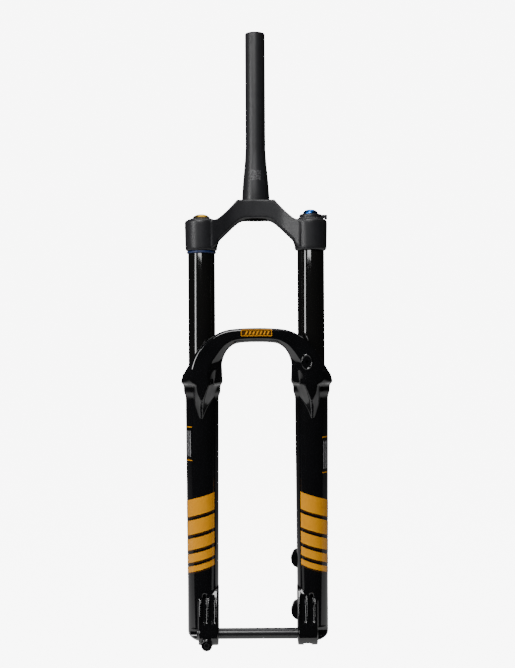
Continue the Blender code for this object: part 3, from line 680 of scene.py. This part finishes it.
def makeDropoutBlock(sign):
    nose = []
    for angle in range(-30, 66, 8):
        turn = math.radians(angle)
        nose.append((axleY - dropout["noseRadius"] * math.cos(turn),
                     axleZ - dropout["noseRadius"] * math.sin(turn)))
    outline = [(-0.0250, -0.5460), (-0.0395, -0.5500), (-0.0450, -0.5580), (-0.0500, -0.5680),
               (-0.0550, -0.5830), *nose, (-0.0440, -0.6226), (-0.0300, -0.6224),
               (-0.0250, -0.6100)]
    rings = []
    for share, shrink in ((0.0, 0.93), (0.06, 1.0), (0.94, 1.0), (1.0, 0.93)):
        x = dropout["inner"] + (dropout["outer"] - dropout["inner"]) * share
        rings.append([(sign * x, -0.0300 + (y + 0.0300) * shrink, z) for y, z in outline])
    return ringPiece("dropoutBlock", rings)


def makeLowerCasting():
    shell = legProfileSolid("lowerCastingEnd", casting["lowerLeg"], -1)
    combine(shell, legProfileSolid("otherLeg", casting["lowerLeg"], 1), "UNION")
    for sign in legSides.values():
        combine(shell, makeDropoutBlock(sign), "UNION")
        cutDropoutPockets(shell, sign)
    pinch = turnedPiece("pinchBoss", [(0.0078, -0.0335), (0.0078, dropout["pinchFront"])],
                        (dropout["pinchX"], 0, dropout["pinchZ"]), axis="y", sides=64)
    combine(shell, pinch, "UNION")
    softenForging(shell, casting["lowerGrain"], casting["softPasses"][1])
    return shell


def cutDropoutPockets(shell, sign):
    # two scooped pockets with a rib between them in the front of each dropout
    middle = (dropout["inner"] + dropout["outer"]) / 2
    reach = (dropout["pocketWidth"] + dropout["ribWidth"]) / 2
    for offset in (-reach, reach):
        half = dropout["pocketWidth"] / 2
        rings = []
        for height, depth, share in ((-0.5540, -0.0430, 0.55), (-0.5600, -0.0440, 0.85),
                                     (-0.5720, -0.0480, 1.0), (-0.5880, -0.0535, 1.0),
                                     (-0.5980, -0.0585, 0.9)):
            wide = half * share
            x = sign * (middle + offset)
            rings.append([(x - wide, depth, height), (x + wide, depth, height),
                          (x + wide, -0.0700, height), (x - wide, -0.0700, height)])
        combine(shell, ringPiece("dropoutPocket", rings))


def keepSide(piece, height, above):
    pickUp(piece)
    bpy.ops.object.mode_set(mode="EDIT")
    bpy.ops.mesh.select_all(action="SELECT")
    bpy.ops.mesh.bisect(plane_co=(0, 0, height), plane_no=(0, 0, 1), clear_inner=above,
                        clear_outer=not above)
    bpy.ops.object.mode_set(mode="OBJECT")


def bridgeLegs(shell):
    # plain tapered tubes between the two worked ends, one leg at a time
    for sign in legSides.values():
        pickUp(shell)
        bpy.ops.object.mode_set(mode="EDIT")
        bpy.ops.mesh.select_mode(type="EDGE")
        bpy.ops.mesh.select_all(action="DESELECT")
        model = bmesh.from_edit_mesh(shell.data)
        for edge in model.edges:
            if edge.is_boundary and edge.verts[0].co.x * sign > 0:
                edge.select = True
        bmesh.update_edit_mesh(shell.data)
        bpy.ops.mesh.bridge_edge_loops()
        bpy.ops.mesh.select_all(action="SELECT")
        bpy.ops.mesh.normals_make_consistent(inside=False)
        bpy.ops.object.mode_set(mode="OBJECT")


def addBrakePosts(shell):
    for height in dropout["postHeights"]:
        face = dropout["postFace"]
        profile = [(0.0085, face), (0.0092, face - 0.0007), (0.0093, face - 0.0060),
                   (0.0100, -0.0010), (0.0118, -0.0070), (0.0118, -0.0200)]
        post = turnedPiece("brakePost", profile, (dropout["postX"], 0, height), axis="y", sides=64)
        combine(shell, post, "UNION")


def addHoseBoss(shell):
    bossX, bossZ = arch["bossPlace"]
    boss = turnedPiece("hoseBoss", [(0.0079, -0.0560), (0.0079, -0.0641), (0.0074, -0.0647),
                                    (0.0068, -0.0649), (0.0062, -0.0646), (0.0058, -0.0641)],
                       axis="y", sides=64)
    for vert in boss.data.vertices:
        vert.co = (vert.co.x + bossX, vert.co.y, vert.co.z * arch["bossStretch"] + bossZ)
    combine(shell, boss, "UNION")


def cutCasting(shell):
    for sign in legSides.values():
        rings = [circleRing(radius, height, (sign * legX, legY, 0))
                 for radius, height in casting["legBore"]]
        combine(shell, ringPiece("legBore", rings))
    axleCentre = (0, axleY, axleZ)
    radius = casting["axleHoleRadius"]
    combine(shell, turnedPiece("axleHole", [(radius, 0.0700), (radius, -0.1200)], axleCentre, "x"))
    radius = casting["insertHoleRadius"]
    combine(shell, turnedPiece("insertHole", [(radius, 0.1200), (radius, 0.0620)], axleCentre, "x"))
    pinchCentre = (dropout["pinchX"], 0, dropout["pinchZ"])
    combine(shell, turnedPiece("pinchHole", [(0.0028, -0.0350), (0.0028, -0.0580),
                                             (0.0051, -0.0580), (0.0051, -0.0700)],
                               pinchCentre, "y", sides=48))
    half = casting["slitWidth"] / 2
    combine(shell, boxPiece("pinchSlit", (-0.0950, axleY - half, -0.6350),
                            (-0.0500, axleY + half, axleZ)))
    combine(shell, boxPiece("lugNotch", (0.0633, -0.0700, -0.6300), (0.0743, -0.0380, -0.6202)))
    for height in dropout["postHeights"]:
        radius = casting["postHoleRadius"]
        combine(shell, turnedPiece("postHole", [(radius, 0.0300), (radius, -0.0010)],
                                   (dropout["postX"], 0, height), "y", sides=32))
    bossX, bossZ = arch["bossPlace"]
    radius = casting["hoseHoleRadius"]
    combine(shell, turnedPiece("hoseHole", [(radius, -0.0575), (radius, -0.0700)],
                               (bossX, 0, bossZ), "y", sides=32))


def cutArchPockets(shell):
    # cells in the back of the arch, with ribs left between them
    outer = smoothCurve([station[0] for station in arch["bow"]], 6)
    inner = smoothCurve([station[1] for station in arch["bow"]], 6)
    wall = arch["pocketWall"]
    for sign in legSides.values():
        for start, stop in arch["pockets"]:
            edge = [between(a, b, wall) for a, b in zip(outer[start:stop], inner[start:stop])]
            hollow = [between(b, a, wall) for a, b in zip(outer[start:stop], inner[start:stop])]
            outline = edge + hollow[::-1]
            rings = [[(sign * x, y, z) for x, z in outline] for y in (-0.0400, arch["pocketFloor"])]
            combine(shell, ringPiece("archPocket", rings))


def makeCasting():
    upper = makeUpperCasting()
    print("arch end of the casting made:", len(upper.data.polygons), "faces")
    lower = makeLowerCasting()
    print("dropout end of the casting made:", len(lower.data.polygons), "faces")
    keepSide(upper, casting["upperCut"], True)
    keepSide(lower, casting["lowerCut"], False)
    deselectAll()
    lower.select_set(True)
    upper.select_set(True)
    bpy.context.view_layer.objects.active = upper
    bpy.ops.object.join()
    bridgeLegs(upper)
    addBrakePosts(upper)
    addHoseBoss(upper)
    cutCasting(upper)
    cutArchPockets(upper)
    upper.name = "lowerCasting"
    upper.data.name = "lowerCasting"
    shadeByAngle(upper, 40)
    place(upper, "lowers", "glossPaint", "casting_black", "lower_casting")
    print("casting made:", len(upper.data.polygons), "faces")


makeCasting()


# caps, knobs and small hardware

caps = {
    "airCollar": [(0.0128, -0.0262), (0.0192, -0.0284), (0.0192, -0.0297), (0.0162, -0.0297),
                  (0.0162, -0.0450), (0.0043, -0.0450), (0.0043, -0.0262)],
    "valveCap": [(0.0003, -0.0206), (0.0025, -0.02065), (0.0050, -0.0210), (0.0075, -0.0217),
                 (0.0100, -0.0230), (0.0117, -0.0245), (0.0123, -0.0256), (0.0120, -0.0259),
                 (0.0098, -0.0259), (0.0098, -0.0240), (0.0060, -0.0228), (0.0003, -0.0228)],
    "damperCollar": [(0.0180, -0.0270), (0.0192, -0.0280), (0.0192, -0.0297), (0.0162, -0.0297),
                     (0.0162, -0.0450), (0.0045, -0.0450), (0.0045, -0.0270)],
    "knob": [(0.0003, -0.0146), (0.0025, -0.01465), (0.0050, -0.0150), (0.0075, -0.0159),
             (0.0093, -0.0172), (0.0105, -0.0190), (0.01085, -0.0206), (0.01085, -0.0211),
             (0.0105, -0.0214), (0.0036, -0.0214), (0.0036, -0.0440), (0.0003, -0.0440)],
    "collarEdge": 0.0003,
}


def makeCaps():
    airTop = (-legX, legY, 0)
    damperTop = (legX, legY, 0)
    edge = caps["collarEdge"]
    collar = turnedPiece("airTopCap", caps["airCollar"], airTop, edge=edge, tube=True)
    place(collar, "crown_unit", "satinAnodised", "crown_black", "air_top_cap")
    cap = turnedPiece("airValveCap", caps["valveCap"], airTop)
    place(cap, "air_valve_cap", "goldAnodised", "gold_anodised", "air_valve_cap")
    collar = turnedPiece("damperTopCap", caps["damperCollar"], damperTop, edge=edge, tube=True)
    place(collar, "crown_unit", "satinAnodised", "crown_black", "damper_top_cap")
    knob = turnedPiece("compressionKnob", caps["knob"], damperTop)
    place(knob, "compression_knob", "blueAnodised", "blue_anodised", "compression_knob")


makeCaps()
print("caps made")


hardware = {
    "axleTips": (-0.0856, 0.0820), "axleRadius": 0.0075, "axleBore": 0.0040,
    "axleHex": 0.0052, "axleHexDepth": 0.0110,
    "boltHead": 0.0045, "boltHex": 0.0029, "ringTop": -0.0731,
    "tabLow": (0.0145, -0.0040, -0.0267), "tabHigh": (0.0235, 0.0040, -0.0224),
    "lipLow": (0.0200, -0.0040, -0.0285), "lipHigh": (0.0235, 0.0040, -0.0250),
    "knurls": 24,
    # each wiper has two lips, with a groove for its spring between them
    "wiper": [(0.0206, -0.2435), (0.0222, -0.2438), (0.0230, -0.2444), (0.0224, -0.2454),
              (0.0233, -0.2466), (0.0234, -0.2565), (0.0197, -0.2565), (0.0196, -0.2450),
              (0.01935, -0.2437)],
}


def makeAxle():
    centre = (0, axleY, axleZ)
    left, right = hardware["axleTips"]
    radius, bore = hardware["axleRadius"], hardware["axleBore"]
    axle = turnedPiece("thruAxle", [(radius - 0.0008, right), (radius, right - 0.0008),
                                    (radius, left + 0.0008), (radius - 0.0008, left),
                                    (bore, left), (bore, right)], centre, "x", tube=True)
    socket = turnedPiece("axleSocket", [(hardware["axleHex"], left - 0.0050),
                                        (hardware["axleHex"], left + hardware["axleHexDepth"])],
                         centre, "x", sides=6)
    combine(axle, socket)
    shadeByAngle(axle)
    place(axle, "thru_axle", "axleBlack", "axle_black", "thru_axle")
    centre = (dropout["pinchX"], 0, dropout["pinchZ"])
    head = hardware["boltHead"]
    bolt = turnedPiece("pinchBolt", [(0.0025, -0.0360), (0.0025, -0.0583), (head, -0.0583),
                                     (head, -0.0617), (head - 0.0005, -0.0622)], centre, "y",
                       sides=64)
    combine(bolt, turnedPiece("boltSocket", [(hardware["boltHex"], -0.0598),
                                             (hardware["boltHex"], -0.0680)], centre, "y", sides=6))
    shadeByAngle(bolt)
    place(bolt, "pinch_bolt", "blackSteel", "black_steel", "pinch_bolt")


def makeSeals():
    for side, sign in legSides.items():
        seal = turnedPiece(side + "WiperSeal", hardware["wiper"], (sign * legX, legY, 0),
                           sides=128, tube=True)
        place(seal, "lowers", "sealRubber", "seal_rubber", side + "_wiper_seal")
    top = hardware["ringTop"]
    band = [(0.0199, top), (0.0205, top - 0.0004), (0.0208, top - 0.0011), (0.0208, top - 0.0022),
            (0.0205, top - 0.0029), (0.0199, top - 0.0033), (0.0193, top - 0.0033), (0.0193, top)]
    ring = turnedPiece("sagRing", band, (-legX, legY, 0), sides=128, tube=True)
    place(ring, "sag_ring", "navyRubber", "navy_rubber", "sag_ring")


def makeLever():
    collar = turnedPiece("compressionLever", [(0.0150, -0.0217), (0.0158, -0.0228),
                                              (0.0160, -0.0240), (0.0162, -0.0267),
                                              (0.0060, -0.0267), (0.0060, -0.0217)],
                         (legX, legY, 0), tube=True)
    for low, high in (("tabLow", "tabHigh"), ("lipLow", "lipHigh")):
        corners = [Vector(hardware[end]) + Vector((legX, legY, 0)) for end in (low, high)]
        combine(collar, boxPiece("leverTab", *corners), "UNION")
    applyModifier(collar, "BEVEL", width=0.0005, segments=3, limit_method="ANGLE",
                  angle_limit=math.radians(40))
    shadeByAngle(collar)
    place(collar, "compression_lever", "satinAnodised", "crown_black", "compression_lever")


def makeReboundKnob():
    count = hardware["knurls"]
    rings = []
    for radius, height in ((0.0066, -0.6240), (0.0072, -0.6246), (0.0074, -0.6252),
                           (0.0074, -0.6278), (0.0070, -0.6286), (0.0062, -0.6292)):
        ring = circleRing(radius, height, (legX, legY, 0), sides=count * 4)
        centre = Vector((legX, legY, height))
        rings.append([centre + (point - centre) * (0.965 if number % 4 == 0 else 1.0)
                      for number, point in enumerate(ring)])
    knob = ringPiece("reboundKnob", rings)
    shadeByAngle(knob)
    place(knob, "rebound_adjuster", "goldAnodised", "gold_anodised", "rebound_knob")


spring = {
    "coilRadius": 0.0095, "wire": 0.0012, "turns": 6, "stepsEachTurn": 24,
    "low": -0.1555, "high": -0.0468, "fixedEnd": -0.0456,
    "keep": 0.755,          # its shortest length over its length at rest
}


def makeSpring():
    count = spring["turns"] * spring["stepsEachTurn"]
    rise = (spring["high"] - spring["low"]) / count
    rings = []
    for number in range(count + 1):
        turn = 2 * math.pi * number / spring["stepsEachTurn"]
        outward = Vector((math.cos(turn), math.sin(turn), 0))
        stride = spring["coilRadius"] * 2 * math.pi / spring["stepsEachTurn"]
        along = Vector((-math.sin(turn) * stride, math.cos(turn) * stride, rise)).normalized()
        upward = along.cross(outward)
        centre = Vector((legX, legY, spring["low"] + rise * number))
        centre += outward * spring["coilRadius"]
        rings.append([centre + (outward * math.cos(a) + upward * math.sin(a)) * spring["wire"]
                      for a in [2 * math.pi * side / 12 for side in range(12)]])
    coil = ringPiece("compensatorSpring", rings)
    shadeByAngle(coil)
    place(coil, "crown_unit", "groundSteel", "steel", "compensator_spring")
    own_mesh(coil)


makeAxle()
makeSeals()
makeSpring()
makeLever()
makeReboundKnob()
print("small hardware made")


# generic stripes on the legs and a plain badge on the arch

graphics = {
    "stripeTop": -0.4120, "heights": (0.0240, 0.0200, 0.0160, 0.0120, 0.0080), "gap": 0.0055,
    "stripeAngles": (-48, 104), "slant": 0.0170, "lift": 0.00018, "pinline": 0.0009,
    "filmThickness": 0.0001,
    "tags": {"air": (-0.3200, -0.3680), "damper": (-0.3350, -0.3860)}, "tagAngles": (36, 68),
    "badge": (0.0215, -0.1936, -0.1846), "badgeFace": -0.0641,
}


def legRadius(height):
    return 0.02312 - 0.00104 * (-0.35 - height) / 0.17


def makeFilm(name, sign, angles, heights, slant, finishName):
    # a thin patch wrapped round a leg, with angles measured outward from straight ahead
    deselectAll()
    bpy.ops.mesh.primitive_grid_add(x_subdivisions=48, y_subdivisions=6, size=2)
    film = bpy.context.object
    film.name = name
    for vert in film.data.vertices:
        share, rise = (vert.co.x + 1) / 2, (vert.co.y + 1) / 2
        turn = math.radians(angles[0] + (angles[1] - angles[0]) * share)
        height = heights[1] + (heights[0] - heights[1]) * rise - slant * share
        reach = legRadius(height) + graphics["lift"]
        vert.co = (sign * (legX + reach * math.sin(turn)), legY - reach * math.cos(turn), height)
    applyModifier(film, "SOLIDIFY", thickness=graphics["filmThickness"], offset=0)
    pickUp(film)
    bpy.ops.object.mode_set(mode="EDIT")
    bpy.ops.mesh.select_all(action="SELECT")
    bpy.ops.mesh.normals_make_consistent(inside=False)
    bpy.ops.object.mode_set(mode="OBJECT")
    shadeByAngle(film)
    place(film, "lowers", finishName, "casting_black")


def makeLegGraphics():
    for side, sign in legSides.items():
        top = graphics["stripeTop"]
        for number, height in enumerate(graphics["heights"]):
            label = side + "Stripe" + str(number + 1)
            foot = top - height
            makeFilm(label, sign, graphics["stripeAngles"], (top, foot), graphics["slant"],
                     "amberFilm")
            edge = foot - 0.0012
            makeFilm(label + "Line", sign, graphics["stripeAngles"],
                     (edge, edge - graphics["pinline"]), graphics["slant"], "pinlineFilm")
            top = foot - graphics["gap"]
        high, low = graphics["tags"][side]
        start, stop = graphics["tagAngles"]
        makeFilm(side + "TagTop", sign, (start, stop), (high, high - 0.0012), 0, "amberFilm")
        makeFilm(side + "TagFoot", sign, (start, stop), (low + 0.0012, low), 0, "amberFilm")
        for number in range(3):
            barStart = start + 6 + number * 8
            makeFilm(side + "TagBar" + str(number + 1), sign, (barStart, barStart + 3),
                     (high - 0.0060, low + 0.0060), 0, "greyFilm")


def makeBadge():
    reach, low, high = graphics["badge"]
    face, edge = graphics["badgeFace"], 0.0009
    plate = boxPiece("badgePlate", (-reach, face, low), (reach, -0.0630, high))
    place(plate, "lowers", "pinlineFilm", "casting_black")
    front = face - 0.0002
    pieces = [boxPiece("badgeMarks", (-reach, front, low), (reach, face + 0.0001, low + edge)),
              boxPiece("badgeTop", (-reach, front, high - edge), (reach, face + 0.0001, high)),
              boxPiece("badgeLeft", (-reach, front, low + edge), (edge - reach, face + 0.0001,
                                                                 high - edge)),
              boxPiece("badgeRight", (reach - edge, front, low + edge), (reach, face + 0.0001,
                                                                        high - edge))]
    for number in range(7):
        x = -0.0162 + number * 0.0050
        base = [(x, low + 0.0022), (x + 0.0024, low + 0.0022), (x + 0.0044, high - 0.0022),
                (x + 0.0020, high - 0.0022)]
        rings = [[(u, y, v) for u, v in base] for y in (front, face + 0.0001)]
        pieces.append(ringPiece("badgeBar", rings))
    deselectAll()
    for piece in pieces:
        piece.select_set(True)
    bpy.context.view_layer.objects.active = pieces[0]
    bpy.ops.object.join()
    place(bpy.context.object, "lowers", "amberFilm", "casting_black")


makeLegGraphics()
makeBadge()
print("graphics made")


# better finishes on the nodes that keep their own shape

nodeFinishes = {
    "brass": ["air_valve"],
    "orangePlastic": ["volume_spacer_1", "volume_spacer_2"],
    "rawAlloy": ["air_seal_head", "damper_seal_head", "cartridge_tube", "base_valve", "air_piston",
                 "damper_piston", "floating_piston", "axle_insert"],
    "groundSteel": ["compression_stem", "air_shaft", "damper_shaft", "rebound_rod",
                    "air_foot_bolt", "damper_foot_nut"],
    "sealRubber": ["top_out_bumper", "air_piston_seal", "floating_piston_seal"]
                  + [side + "_bottom_out_bumper" for side in legSides],
    "bronze": ["damper_piston_ring"]
              + [side + part for side in legSides for part in ("_upper_bushing", "_lower_bushing")],
    "oilFoam": [side + "_foam_ring" for side in legSides],
    "copper": [side + "_crush_washer" for side in legSides],
}


def finishNodes():
    for finishName, names in nodeFinishes.items():
        for name in names:
            wear(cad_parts[name], finishName)


finishNodes()
print("node finishes set")
